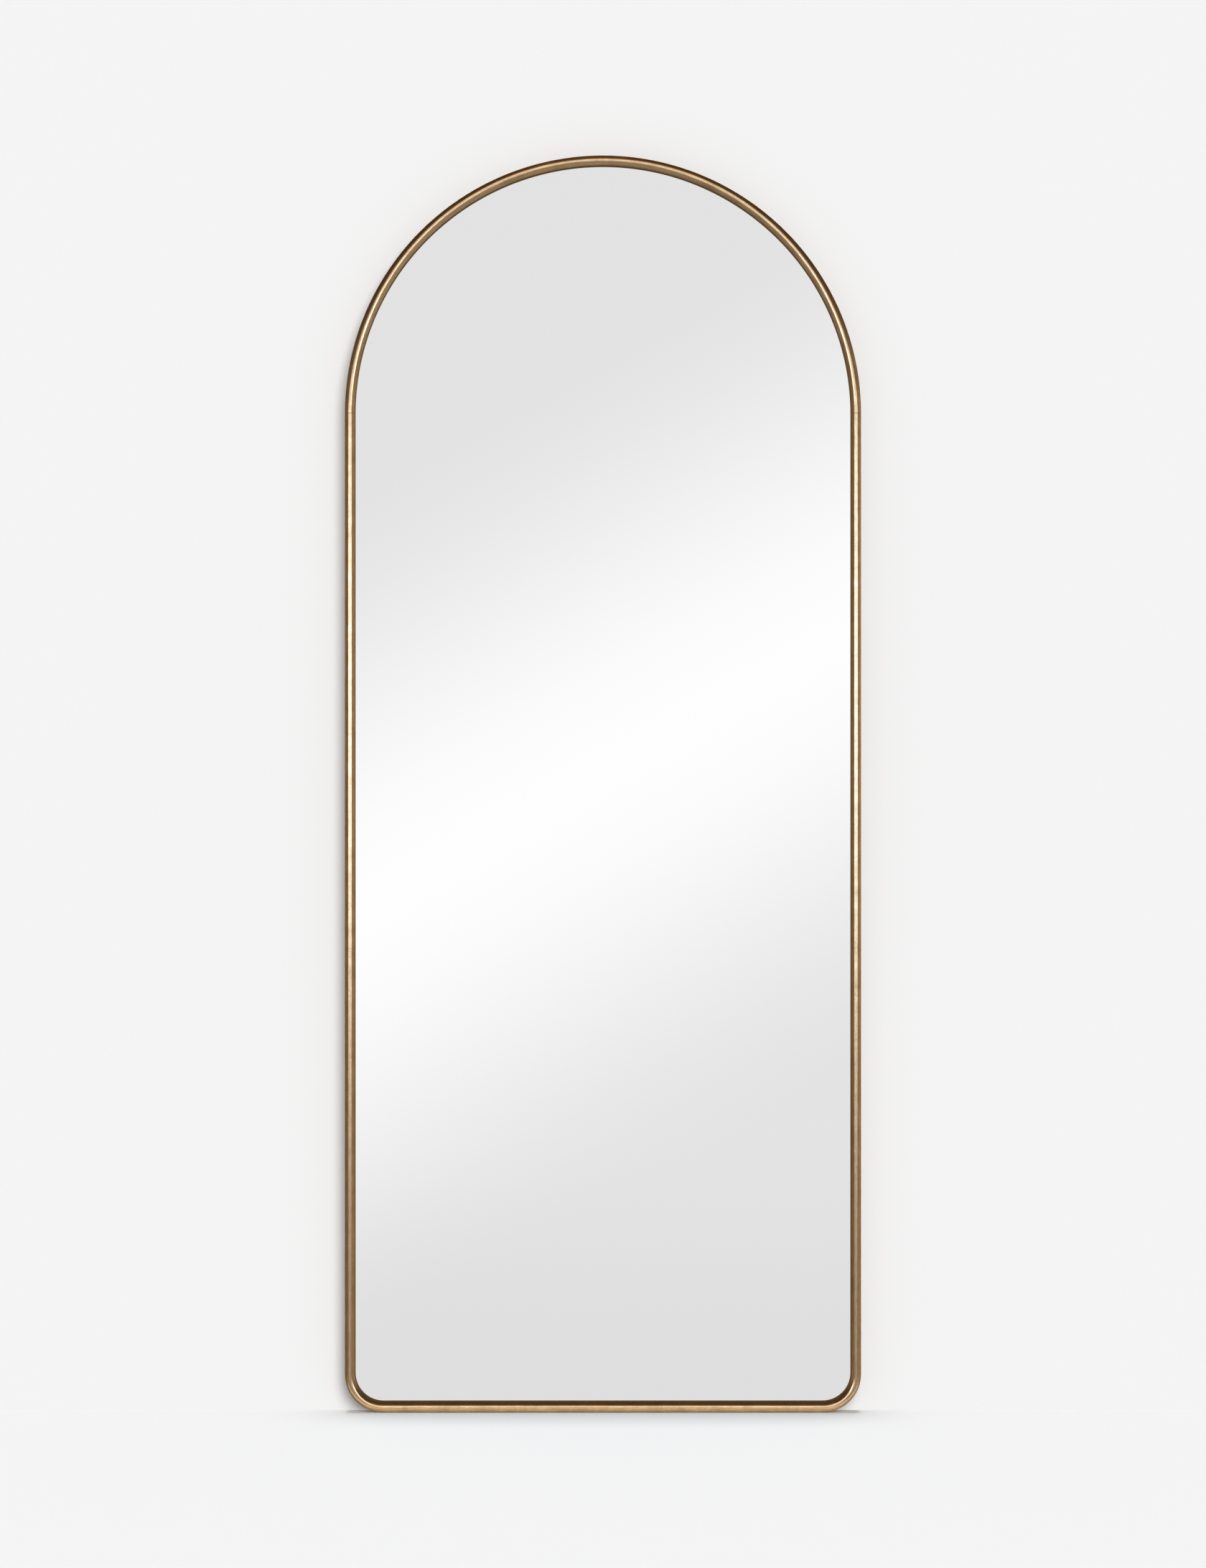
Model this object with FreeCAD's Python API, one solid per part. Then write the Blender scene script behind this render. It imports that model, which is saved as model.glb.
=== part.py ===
import FreeCAD, Part
import math
import os

# A tall arched floor mirror: a round tube frame with a flat glass in a shallow steel tray behind it.
# Millimetres. X runs to the right as seen from the front, Y from the viewer towards the wall, Z up.
# The origin is on the floor, at mid width and mid depth.

# ---- Driving dimensions --------------------------------------------------------------------------

# Outline, over the outside of the tube
overall_width = 813.0
overall_height = 1981.0
corner_radius = 52.0            # of the tube's centreline, at the two lower corners

# Frame tube
tube_diameter = 15.9
tube_wall = 1.2
sleeve_wall = 1.2
sleeve_slack = 0.1              # all round, between a joint sleeve and the bore it sits in
sleeve_reach = 30.0             # into the tube on each side of a seam

# Steel tray behind the tube
lip_thickness = 1.5
lip_reach = 6.0                 # inwards from the tube's centreline
band_thickness = 1.5
band_setback = 2.0              # from the tube's outermost line to the band's outer face
rear_recess = 11.0              # from the backboard to the band's rear edge

# Stitch welds between the tube and the lip, on the outer side
weld_length = 16.0
weld_reach = 4.0                # from the tube's centreline to where a bead touches the tube
weld_width = 1.6                # on from there to the bead's outer face
weld_pitch = 190.0
weld_pitch_degrees = 30.0

# Glass and what it is bedded on
glass_thickness = 4.0
glass_overlap = 3.0             # outwards past the tube's centreline
glass_arris = 0.5
tape_thickness = 1.0
tape_width = 7.0
tape_inset = 1.0                # from the lip's inner edge
film_thickness = 0.25
film_margin = 3.0               # from the glass's edge
cushion_thickness = 1.0
cushion_width = 25.0
cushion_length = 400.0
cushion_spacing = 250.0
cushion_heights = (500.0, 1280.0)
setting_block_length = 80.0
setting_block_spacing = 400.0
edge_pad_length = 40.0
edge_pad_heights = (500.0, 1330.0)

# Backboard
board_thickness = 5.0

# Bent angles that hold the board, each on a rim screw and a board screw
bracket_thickness = 1.5
bracket_bend_radius = 1.0       # inside the bend
bracket_width = 16.0
bracket_rim_leg = 10.0
bracket_board_leg = 18.0
bracket_hole_inset = 11.0       # of the board screw, from the rim
bracket_leg_heights = (240.0, 990.0)
bracket_arch_angles = (15.0, 60.0, 120.0, 165.0)
bracket_rail_spacing = 340.0

# Pan-head screws of the brackets, crossbars and bumpers
screw_radius = 1.75
screw_head_radius = 2.8
screw_head_height = 1.8
screw_slack = 0.05              # all round, between a thread and its hole
screw_recess_width = 0.7
screw_recess_depth = 0.9
rim_screw_height = 7.0          # behind the board
thread_shortfall = 0.2          # how far a thread ends inside the face it comes to
board_bite = 4.2                # thread length in the board

# Crossbars over the back
crossbar_height = 50.0
crossbar_thickness = 3.0
crossbar_bend_radius = 1.0
crossbar_tab = 10.0
lower_crossbar_rise = 520.0     # from the floor to the bar's middle
upper_crossbar_drop = 114.5     # from the springing line to the bar's middle
crossbar_screw_spacing = 30.0

# D-ring hangers
hanger_spacing = 600.0
strap_width = 22.0
strap_thickness = 2.0
strap_drop = 44.0               # from the ring's axis to the strap's lower end
strap_corner = 5.0
strap_screw_drops = (11.0, 33.0)
curl_gap = 0.8                  # where the curl's end stops short of the strap
ring_wire = 4.0
ring_slack = 0.1                # all round, between the ring's wire and the curl
ring_end_play = 0.5             # of the ring's straight bar past each side of the curl
ring_bend = 4.0
ring_side = 10.0                # from the axis to the centre of the round end
sink_screw_radius = 2.0
sink_screw_head_radius = 3.8
sink_screw_head_depth = 1.6

# Wall bumpers
bumper_proud = 2.5              # past the band's rear edge
bumper_base_radius = 11.0
bumper_tip_radius = 9.0
bumper_bore_radius = 5.5
bumper_bore_depth = 5.0
washer_radius = 4.8
washer_thickness = 1.0
lower_bumper_height = 100.0
lower_bumper_spacing = 640.0
upper_bumper_angle = 60.0       # above the springing line
upper_bumper_inset = 34.0       # from the tube's centreline

# Foot pads
foot_rise = 0.5                 # of the tube's underside above the floor
foot_pad_length = 60.0
foot_pad_width = 14.0
foot_pad_spacing = 540.0

# ---- Sizes that follow ---------------------------------------------------------------------------

tube_radius = tube_diameter / 2
bore_radius = tube_radius - tube_wall
half_width = overall_width / 2 - tube_radius
spring_line = overall_height - overall_width / 2
foot_line = foot_rise + tube_radius
corner_line = foot_line + corner_radius
rail_half_length = half_width - corner_radius
crossbar_heights = (lower_crossbar_rise, spring_line - upper_crossbar_drop)

band_outset = tube_radius - band_setback
band_inner = band_outset - band_thickness
board_outset = glass_overlap

overall_depth = (tube_diameter + lip_thickness + tape_thickness + glass_thickness + film_thickness
                 + cushion_thickness + board_thickness + rear_recess + bumper_proud)
tube_y = tube_radius - overall_depth / 2
lip_front = tube_y + tube_radius
lip_rear = lip_front + lip_thickness
glass_front = lip_rear + tape_thickness
glass_rear = glass_front + glass_thickness
film_rear = glass_rear + film_thickness
board_front = film_rear + cushion_thickness
board_rear = board_front + board_thickness
crossbar_rear = board_rear + crossbar_thickness
band_rear = board_rear + rear_recess
wall_y = band_rear + bumper_proud

ring_radius = ring_wire / 2
ring_bar_half = strap_width / 2 + ring_end_play
ring_half_width = ring_bar_half + ring_bend
curl_bore = ring_radius + ring_slack
curl_radius = curl_bore + strap_thickness
ring_axis_y = crossbar_rear + curl_radius
ring_axis_z = crossbar_heights[1] + crossbar_height / 2 - curl_radius

out = FreeCAD.Vector(1, 0, 0)
rearward = FreeCAD.Vector(0, 1, 0)
up = FreeCAD.Vector(0, 0, 1)
sides = {"left": -1, "right": 1}

# ---- Shapes that several pieces are made from ----------------------------------------------------


def block(x, y, z):
    """A box from its lowest and highest place along each axis."""
    low = FreeCAD.Vector(x[0], y[0], z[0])
    return Part.makeBox(x[1] - x[0], y[1] - y[0], z[1] - z[0], low)


def joined(shapes):
    return shapes[0].multiFuse(shapes[1:]).removeSplitter()


def without(shape, cutters):
    return shape.cut(Part.makeCompound(cutters))


def mirrored(shape):
    return shape.mirror(FreeCAD.Vector(0, 0, 0), out)


def straight_bar(start, end, radius):
    return Part.makeCylinder(radius, start.distanceToPoint(end), start, end - start)


def bent_bar(start, direction, centre, axis, degrees, radius):
    """A round bar that leaves start along direction and turns about an axis through centre."""
    circle = Part.Circle(start, direction, radius)
    section = Part.Face(Part.Wire(circle.toShape()))
    return section.revolve(centre, axis, degrees)


def outline(outset, y):
    """The mirror's closed outline, outset from the tube's centreline, in the plane at y."""
    side = half_width + outset
    turn = corner_radius + outset
    foot = foot_line - outset
    turn_across = turn * math.sqrt(0.5)

    def at(x, z):
        return FreeCAD.Vector(x, y, z)

    foot_left = at(-rail_half_length, foot)
    foot_right = at(rail_half_length, foot)
    right_mid = at(rail_half_length + turn_across, corner_line - turn_across)
    left_mid = at(-rail_half_length - turn_across, corner_line - turn_across)
    edges = [
        Part.LineSegment(foot_left, foot_right),
        Part.Arc(foot_right, right_mid, at(side, corner_line)),
        Part.LineSegment(at(side, corner_line), at(side, spring_line)),
        Part.Arc(at(side, spring_line), at(0, spring_line + side), at(-side, spring_line)),
        Part.LineSegment(at(-side, spring_line), at(-side, corner_line)),
        Part.Arc(at(-side, corner_line), left_mid, foot_left),
    ]
    return Part.Wire([edge.toShape() for edge in edges])


def plate(outset, front, rear):
    return Part.Face(outline(outset, front)).extrude(rearward * (rear - front))


def ring_plate(outer, inner, front, rear):
    return plate(outer, front, rear).cut(plate(inner, front, rear))


def above_spring_line(shape):
    reach = overall_height
    return shape.common(block((-reach, reach), (-reach, reach), (spring_line, spring_line + reach)))


def below_spring_line(shape):
    reach = overall_height
    return shape.common(block((-reach, reach), (-reach, reach), (spring_line - 2 * reach, spring_line)))


def bent_strip(corner, first, second, thickness, bend_radius, height):
    """An angle of flat strip from its outer corner, with two legs along the vectors first and second.

    It is height tall along Z, from the corner's own height."""
    along_first = FreeCAD.Vector(first).normalize()
    along_second = FreeCAD.Vector(second).normalize()
    outer = bend_radius + thickness
    centre = corner + (along_first + along_second) * outer
    diagonal = (along_first + along_second).normalize()
    outer_first = corner + along_first * outer
    outer_second = corner + along_second * outer
    inner_first = outer_first + along_second * thickness
    inner_second = outer_second + along_first * thickness
    edges = [
        Part.LineSegment(corner + first, outer_first),
        Part.Arc(outer_first, centre - diagonal * outer, outer_second),
        Part.LineSegment(outer_second, corner + second),
        Part.LineSegment(corner + second, corner + second + along_first * thickness),
        Part.LineSegment(corner + second + along_first * thickness, inner_second),
        Part.Arc(inner_second, centre - diagonal * bend_radius, inner_first),
        Part.LineSegment(inner_first, corner + first + along_second * thickness),
        Part.LineSegment(corner + first + along_second * thickness, corner + first),
    ]
    profile = Part.Wire([edge.toShape() for edge in edges])
    return Part.Face(profile).extrude(up * height)


def cross_recess(head_face):
    """A cross of two slots in a screw head whose outer face is at x = head_face."""
    reach = screw_head_radius * 0.6
    half = screw_recess_width / 2
    depth = (head_face, head_face + screw_recess_depth)
    return [block(depth, (-reach, reach), (-half, half)), block(depth, (-half, half), (-reach, reach))]


def pan_screw(thread_length):
    """A pan-head screw along +X, with the underside of its head at x = 0."""
    zero = FreeCAD.Vector(0, 0, 0)
    thread = Part.makeCylinder(screw_radius, thread_length, zero, out)
    face = -screw_head_height
    head = Part.makeCylinder(screw_head_radius, screw_head_height, FreeCAD.Vector(face, 0, 0), out)
    rim = [edge for edge in head.Edges if edge.BoundBox.XMax < face / 2]
    head = head.makeFillet(screw_head_height / 2, rim)
    return without(joined([head, thread]), cross_recess(face))


def sink_cutter(slack):
    """The cone and shank of a countersunk screw along +X, its flat face at x = 0, grown by slack."""
    zero = FreeCAD.Vector(0, 0, 0)
    shank_length = strap_thickness + crossbar_thickness - thread_shortfall
    head = Part.makeCone(sink_screw_head_radius + slack, sink_screw_radius + slack,
                         sink_screw_head_depth, zero, out)
    shank = Part.makeCylinder(sink_screw_radius + slack, shank_length + slack, zero, out)
    return joined([head, shank])


def placed(shape, point, direction):
    """A copy of a shape made along +X at the origin, moved to point and turned along direction."""
    copy = shape.copy()
    copy.Placement = FreeCAD.Placement(point, FreeCAD.Rotation(out, direction))
    return copy


def save(name, shape):
    if not shape.isValid():
        raise ValueError(name + " isn't a valid shape")
    shape.exportStep("parts/" + name + ".step")
    print(name, len(shape.Solids), "solids,", round(shape.Volume / 1000, 2), "cm3")


def save_group(name, shapes):
    save(name, Part.makeCompound(shapes))


# ---- Places round the rim ------------------------------------------------------------------------
# A rim place turns a shape made at the right-hand leg, with X outwards from the tube's centreline,
# to stand there on the outline. Each is a pair: the placement, and how far a flat face of a given
# width stands off the band's hollow inner face there, which is nothing on a straight stretch.


def rim_place(degrees, x, z):
    turn = FreeCAD.Rotation(rearward, -degrees)
    return FreeCAD.Placement(FreeCAD.Vector(x, 0, z), turn)


def on_leg(side, z):
    return rim_place(0 if side > 0 else 180, side * half_width, z)


def on_rail(x):
    return rim_place(-90, x, foot_line)


def on_arch(degrees):
    angle = math.radians(degrees)
    return rim_place(degrees, half_width * math.cos(angle), spring_line + half_width * math.sin(angle))


def at_rim(shape, place):
    copy = shape.copy()
    copy.Placement = place.multiply(copy.Placement)
    return copy


# ---- Frame tube ----------------------------------------------------------------------------------


def arch_bar(radius):
    start = FreeCAD.Vector(half_width, tube_y, spring_line)
    centre = FreeCAD.Vector(0, tube_y, spring_line)
    return bent_bar(start, up, centre, -rearward, 180, radius)


def lower_bar(radius):
    """Both legs, both bends and the bottom rail, as one round bar."""
    pieces = [straight_bar(FreeCAD.Vector(-rail_half_length, tube_y, foot_line),
                           FreeCAD.Vector(rail_half_length, tube_y, foot_line), radius)]
    for side in sides.values():
        leg_foot = FreeCAD.Vector(side * half_width, tube_y, corner_line)
        leg_top = FreeCAD.Vector(side * half_width, tube_y, spring_line)
        centre = FreeCAD.Vector(side * rail_half_length, tube_y, corner_line)
        pieces.append(straight_bar(leg_foot, leg_top, radius))
        pieces.append(bent_bar(leg_foot, up, centre, rearward * side, 90, radius))
    return joined(pieces)


def seam_bar(side, radius):
    """A round bar that follows the tube's centreline through a seam."""
    seam = FreeCAD.Vector(side * half_width, tube_y, spring_line)
    centre = FreeCAD.Vector(0, tube_y, spring_line)
    degrees = math.degrees(sleeve_reach / half_width)
    lower = straight_bar(seam - up * sleeve_reach, seam, radius)
    upper = bent_bar(seam, up, centre, -rearward * side, degrees, radius)
    return joined([lower, upper])


def build_tube():
    save("arch_tube", arch_bar(tube_radius).cut(arch_bar(bore_radius)))
    save("lower_tube", lower_bar(tube_radius).cut(lower_bar(bore_radius)))
    sleeve_radius = bore_radius - sleeve_slack
    for name, side in sides.items():
        sleeve = seam_bar(side, sleeve_radius).cut(seam_bar(side, sleeve_radius - sleeve_wall))
        save("joint_sleeve_" + name, sleeve)


# ---- Steel tray ----------------------------------------------------------------------------------


def bracket_seats():
    """Name, place on the rim, and the stand-off of a bracket's flat leg from the band."""
    rim_radius = half_width + band_inner
    arch_gap = rim_radius - math.sqrt(rim_radius ** 2 - (bracket_width / 2) ** 2)
    places = [(on_leg(side, z), 0.0) for side in sides.values() for z in bracket_leg_heights]
    places += [(on_arch(degrees), arch_gap) for degrees in bracket_arch_angles]
    places += [(on_rail(side * bracket_rail_spacing / 2), 0.0) for side in sides.values()]
    return [("retaining_bracket_" + str(number), place, gap)
            for number, (place, gap) in enumerate(places, 1)]


def crossbar_screw_places():
    places = []
    for height in crossbar_heights:
        for side in sides.values():
            for offset in (-crossbar_screw_spacing / 2, crossbar_screw_spacing / 2):
                places.append(on_leg(side, height + offset))
    return places


def rim_screw_hole():
    """The hole for a rim screw, right through a bracket or a tab and the band."""
    start = FreeCAD.Vector(-bracket_board_leg / 2, board_rear + rim_screw_height, 0)
    return Part.makeCylinder(screw_radius + screw_slack, bracket_board_leg, start, out)


def weld_bead():
    """A three-cornered bead between the tube and the lip, with its slope tangent to the tube."""
    touch = math.asin(weld_reach / tube_radius)
    root = tube_radius * math.tan(touch / 2)
    toe = weld_reach + weld_width
    toe_y = tube_y + (tube_radius - toe * math.sin(touch)) / math.cos(touch)
    corners = [FreeCAD.Vector(x, y, -weld_length / 2)
               for x, y in ((root, lip_front), (toe, lip_front), (toe, toe_y), (root, lip_front))]
    return Part.Face(Part.makePolygon(corners)).extrude(up * weld_length)


def weld_places():
    leg_length = spring_line - corner_line
    leg_count = int(leg_length // weld_pitch)
    rail_count = int(2 * rail_half_length // weld_pitch)
    arch_count = int(180 // weld_pitch_degrees)
    places = []
    for number in range(leg_count):
        z = corner_line + leg_length * (number + 0.5) / leg_count
        places += [on_leg(side, z) for side in sides.values()]
    for number in range(rail_count):
        places.append(on_rail(rail_half_length * ((2 * number + 1) / rail_count - 1)))
    for number in range(arch_count):
        places.append(on_arch(180 * (number + 0.5) / arch_count))
    return places


def build_tray():
    save("lip_plate_upper", above_spring_line(ring_plate(band_outset, -lip_reach, lip_front, lip_rear)))
    save("lip_plate_lower", below_spring_line(ring_plate(band_outset, -lip_reach, lip_front, lip_rear)))

    hole = rim_screw_hole()
    holes = [at_rim(hole, place) for name, place, gap in bracket_seats()]
    holes += [at_rim(hole, place) for place in crossbar_screw_places()]
    band = without(ring_plate(band_outset, band_inner, lip_rear, band_rear), holes)
    save("rim_band_upper", above_spring_line(band))
    save("rim_band_lower", below_spring_line(band))

    save_group("stitch_welds", [at_rim(weld_bead(), place) for place in weld_places()])


# ---- Glass and its bedding -----------------------------------------------------------------------


def build_glass():
    glass = plate(glass_overlap, glass_front, glass_rear)
    face_edges = [edge for edge in glass.Edges if edge.BoundBox.YLength < glass_thickness / 2]
    save("mirror_glass", glass.makeChamfer(glass_arris, face_edges))

    tape_inner = tape_inset - lip_reach
    save("glazing_tape", ring_plate(tape_inner + tape_width, tape_inner, lip_rear, glass_front))
    save("safety_film", plate(glass_overlap - film_margin, glass_rear, film_rear))

    strips = []
    for height in cushion_heights:
        for column in (-1, 0, 1):
            x = column * cushion_spacing
            strips.append(block((x - cushion_width / 2, x + cushion_width / 2), (film_rear, board_front),
                                (height - cushion_length / 2, height + cushion_length / 2)))
    save_group("cushion_pads", strips)

    for name, side in sides.items():
        x = side * setting_block_spacing / 2
        save("setting_block_" + name,
             block((x - setting_block_length / 2, x + setting_block_length / 2), (glass_front, board_rear),
                   (foot_line - band_inner, foot_line - glass_overlap)))

    pad = block((glass_overlap, band_inner), (glass_front, glass_rear),
                (-edge_pad_length / 2, edge_pad_length / 2))
    save_group("edge_pads", [at_rim(pad, on_leg(side, z)) for side in sides.values()
                             for z in edge_pad_heights])


# ---- Backboard and its brackets ------------------------------------------------------------------


def bumper_points():
    """Name and place of each wall bumper's centre on the board's rear face."""
    angle = math.radians(upper_bumper_angle)
    reach = half_width - upper_bumper_inset
    points = {}
    for name, side in sides.items():
        points["wall_bumper_lower_" + name] = FreeCAD.Vector(
            side * lower_bumper_spacing / 2, board_rear, lower_bumper_height)
        points["wall_bumper_upper_" + name] = FreeCAD.Vector(
            side * reach * math.cos(angle), board_rear, spring_line + reach * math.sin(angle))
    return points


def build_backboard():
    board = plate(board_outset, board_front, board_rear)
    hole_start = FreeCAD.Vector(band_inner - bracket_hole_inset, board_front, 0)
    hole = Part.makeCylinder(screw_radius + screw_slack, board_thickness, hole_start, rearward)
    holes = [at_rim(hole, place) for name, place, gap in bracket_seats()]
    for point in bumper_points().values():
        holes.append(Part.makeCylinder(screw_radius + screw_slack, board_thickness, point, -rearward))
    save("backboard", without(board, holes))


def build_brackets():
    rim_screws = []
    board_screws = []
    board_screw = pan_screw(bracket_thickness + board_bite)
    for name, place, gap in bracket_seats():
        face = band_inner - gap
        corner = FreeCAD.Vector(face, board_rear, -bracket_width / 2)
        angle = bent_strip(corner, -out * bracket_board_leg, rearward * bracket_rim_leg,
                           bracket_thickness, bracket_bend_radius, bracket_width)
        hole_start = FreeCAD.Vector(band_inner - bracket_hole_inset, board_rear, 0)
        board_hole = Part.makeCylinder(screw_radius + screw_slack, bracket_thickness, hole_start, rearward)
        save(name, at_rim(without(angle, [rim_screw_hole(), board_hole]), place))

        head_seat = face - bracket_thickness
        rim_screw = pan_screw(band_outset - thread_shortfall - head_seat)
        rim_point = FreeCAD.Vector(head_seat, board_rear + rim_screw_height, 0)
        rim_screws.append(at_rim(placed(rim_screw, rim_point, out), place))
        board_point = hole_start + rearward * bracket_thickness
        board_screws.append(at_rim(placed(board_screw, board_point, -rearward), place))
    save_group("bracket_rim_screws", rim_screws)
    save_group("bracket_board_screws", board_screws)


# ---- Crossbars -----------------------------------------------------------------------------------


def strap_screw_points():
    """Where each countersunk screw's flat face lies on its strap."""
    face = crossbar_rear + strap_thickness
    return [FreeCAD.Vector(side * hanger_spacing / 2, face, ring_axis_z - drop)
            for side in sides.values() for drop in strap_screw_drops]


def build_crossbars():
    reach = half_width + band_inner
    names = ("lower_crossbar", "upper_crossbar")
    sink_holes = [placed(sink_cutter(screw_slack), point, -rearward) for point in strap_screw_points()]
    for name, height in zip(names, crossbar_heights):
        corner = FreeCAD.Vector(reach, board_rear, height - crossbar_height / 2)
        right_half = bent_strip(corner, -out * reach, rearward * crossbar_tab,
                                crossbar_thickness, crossbar_bend_radius, crossbar_height)
        bar = joined([right_half, mirrored(right_half)])
        holes = [at_rim(rim_screw_hole(), place) for place in crossbar_screw_places()]
        save(name, without(bar, holes + sink_holes))

    head_seat = band_inner - crossbar_thickness
    screw = pan_screw(band_outset - thread_shortfall - head_seat)
    point = FreeCAD.Vector(head_seat, board_rear + rim_screw_height, 0)
    save_group("crossbar_screws",
               [at_rim(placed(screw, point, out), place) for place in crossbar_screw_places()])


# ---- D-ring hangers ------------------------------------------------------------------------------


def strap_shape(x):
    """A flat strap on the crossbar, whose top is curled rearwards round the ring's wire."""
    face = crossbar_rear + strap_thickness
    sides_x = (x - strap_width / 2, x + strap_width / 2)
    flat = block(sides_x, (crossbar_rear, face), (ring_axis_z - strap_drop, ring_axis_z))
    lower_edges = [edge for edge in flat.Edges
                   if edge.BoundBox.ZMax < ring_axis_z - strap_drop / 2
                   and edge.BoundBox.YLength > strap_thickness / 2]
    flat = flat.makeFillet(strap_corner, lower_edges)
    start = FreeCAD.Vector(sides_x[0], ring_axis_y, ring_axis_z)
    end = FreeCAD.Vector(sides_x[1], ring_axis_y, ring_axis_z)
    gap = block(sides_x, (face, face + curl_gap), (ring_axis_z - curl_radius, ring_axis_z))
    strap = joined([flat, straight_bar(start, end, curl_radius)])
    cutters = [straight_bar(start, end, curl_bore), gap]
    cutters += [placed(sink_cutter(screw_slack), point, -rearward) for point in strap_screw_points()]
    return without(strap, cutters)


def ring_shape(x):
    """A D-shaped ring of round wire that hangs from its straight bar on the hinge axis."""

    def at(across, drop):
        return FreeCAD.Vector(x + across, ring_axis_y, ring_axis_z - drop)

    pieces = [
        straight_bar(at(-ring_bar_half, 0), at(ring_bar_half, 0), ring_radius),
        bent_bar(at(ring_half_width, ring_side), -up, at(0, ring_side), rearward, 180, ring_radius),
    ]
    for side in sides.values():
        pieces.append(straight_bar(at(side * ring_half_width, ring_bend),
                                   at(side * ring_half_width, ring_side), ring_radius))
        pieces.append(bent_bar(at(side * ring_bar_half, 0), out, at(side * ring_bar_half, ring_bend),
                               rearward * side, 90, ring_radius))
    return joined(pieces)


def build_hangers():
    for name, side in sides.items():
        x = side * hanger_spacing / 2
        save("hanger_strap_" + name, strap_shape(x))
        save("d_ring_" + name, ring_shape(x))
    screw = without(sink_cutter(0), cross_recess(0))
    save_group("hanger_screws", [placed(screw, point, -rearward) for point in strap_screw_points()])


# ---- Wall bumpers and foot pads ------------------------------------------------------------------


def build_bumpers():
    height = wall_y - board_rear
    bore_floor = height - bumper_bore_depth
    screw = pan_screw(washer_thickness + bore_floor + board_bite)
    washers = []
    screws = []
    for name, point in bumper_points().items():
        body = Part.makeCone(bumper_base_radius, bumper_tip_radius, height, point, rearward)
        floor = point + rearward * bore_floor
        bore = Part.makeCylinder(bumper_bore_radius, bumper_bore_depth, floor, rearward)
        hole = Part.makeCylinder(screw_radius + screw_slack, height, point, rearward)
        save(name, without(body, [bore, hole]))
        washer = Part.makeCylinder(washer_radius, washer_thickness, floor, rearward)
        washers.append(washer.cut(hole))
        screws.append(placed(screw, floor + rearward * washer_thickness, -rearward))
    save_group("bumper_washers", washers)
    save_group("bumper_screws", screws)


def build_foot_pads():
    sole_height = foot_line - band_outset
    end_radius = foot_pad_width / 2
    y = (lip_rear + band_rear) / 2
    for name, side in sides.items():
        x = side * foot_pad_spacing / 2
        inner = FreeCAD.Vector(x - foot_pad_length / 2 + end_radius, y, 0)
        outer = FreeCAD.Vector(x + foot_pad_length / 2 - end_radius, y, 0)
        pad = joined([block((inner.x, outer.x), (y - end_radius, y + end_radius), (0, sole_height)),
                      Part.makeCylinder(end_radius, sole_height, inner, up),
                      Part.makeCylinder(end_radius, sole_height, outer, up)])
        save("foot_pad_" + name, pad)


os.makedirs("parts", exist_ok=True)
build_tube()
build_tray()
build_glass()
build_backboard()
build_brackets()
build_crossbars()
build_hangers()
build_bumpers()
build_foot_pads()
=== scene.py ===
# %% [markdown]
# # A tall arched floor mirror in aged gold leaf
# The mirror is a thin round tube, bent to an arch and covered with gold leaf, over a flat silvered glass.
# Behind the glass are a painted board, steel angles and bars, hangers, bumpers and foot pads. The packed
# model already holds all of these at their true size. This lesson re-makes the tube finely, so that its
# long curve is smooth, and gives every piece the finish that the real one has.

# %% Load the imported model
import bmesh
import bpy
import math
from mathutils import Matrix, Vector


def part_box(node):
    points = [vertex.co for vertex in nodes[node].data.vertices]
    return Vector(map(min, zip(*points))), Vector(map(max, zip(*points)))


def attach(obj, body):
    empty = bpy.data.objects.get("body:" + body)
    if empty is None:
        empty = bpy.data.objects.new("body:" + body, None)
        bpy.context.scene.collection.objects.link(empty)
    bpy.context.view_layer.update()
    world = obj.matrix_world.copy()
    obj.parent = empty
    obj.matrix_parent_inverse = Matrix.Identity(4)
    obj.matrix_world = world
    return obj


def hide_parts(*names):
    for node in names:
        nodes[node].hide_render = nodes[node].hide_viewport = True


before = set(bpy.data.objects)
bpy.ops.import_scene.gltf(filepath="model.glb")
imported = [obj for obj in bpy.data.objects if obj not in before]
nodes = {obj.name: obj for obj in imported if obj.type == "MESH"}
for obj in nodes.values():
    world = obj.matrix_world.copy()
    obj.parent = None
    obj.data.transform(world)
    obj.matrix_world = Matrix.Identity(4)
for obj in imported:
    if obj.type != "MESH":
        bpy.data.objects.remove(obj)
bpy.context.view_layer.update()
print("pieces in the frame:", len(nodes))

# %% [markdown]
# ## The frame tube
# A bender pushes one straight tube round two corners for the legs and the rail, and rolls another to a
# half circle. They meet in a butt seam at each springing point, where the leg turns into the arch.
# In Blender the same path is walked with a circle: extrude it down the leg, spin it round the corner,
# extrude along the rail, and so on. A curve with a round bevel would do too, but this way a bend gets as
# many rings as it needs and a straight gets none.

# %% Read the tube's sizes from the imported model
MM = 0.001
tube_low, tube_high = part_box("lower_tube")
tube_radius = (tube_high.y - tube_low.y) / 2
tube_y = (tube_high.y + tube_low.y) / 2
half_width = tube_high.x - tube_radius
foot_line = tube_low.z + tube_radius
spring_line = tube_high.z
corner_radius = 52 * MM
corner_line = foot_line + corner_radius
rail_half = half_width - corner_radius
tube_wall = 1.2 * MM
print("tube radius", round(tube_radius / MM, 2), "mm, legs", round(half_width / MM, 2), "mm from the middle")

# %% Walk a ring of edges along the path
TUBE_SIDES = 48
CORNER_STEPS = 24
ARCH_STEPS = 200


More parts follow.
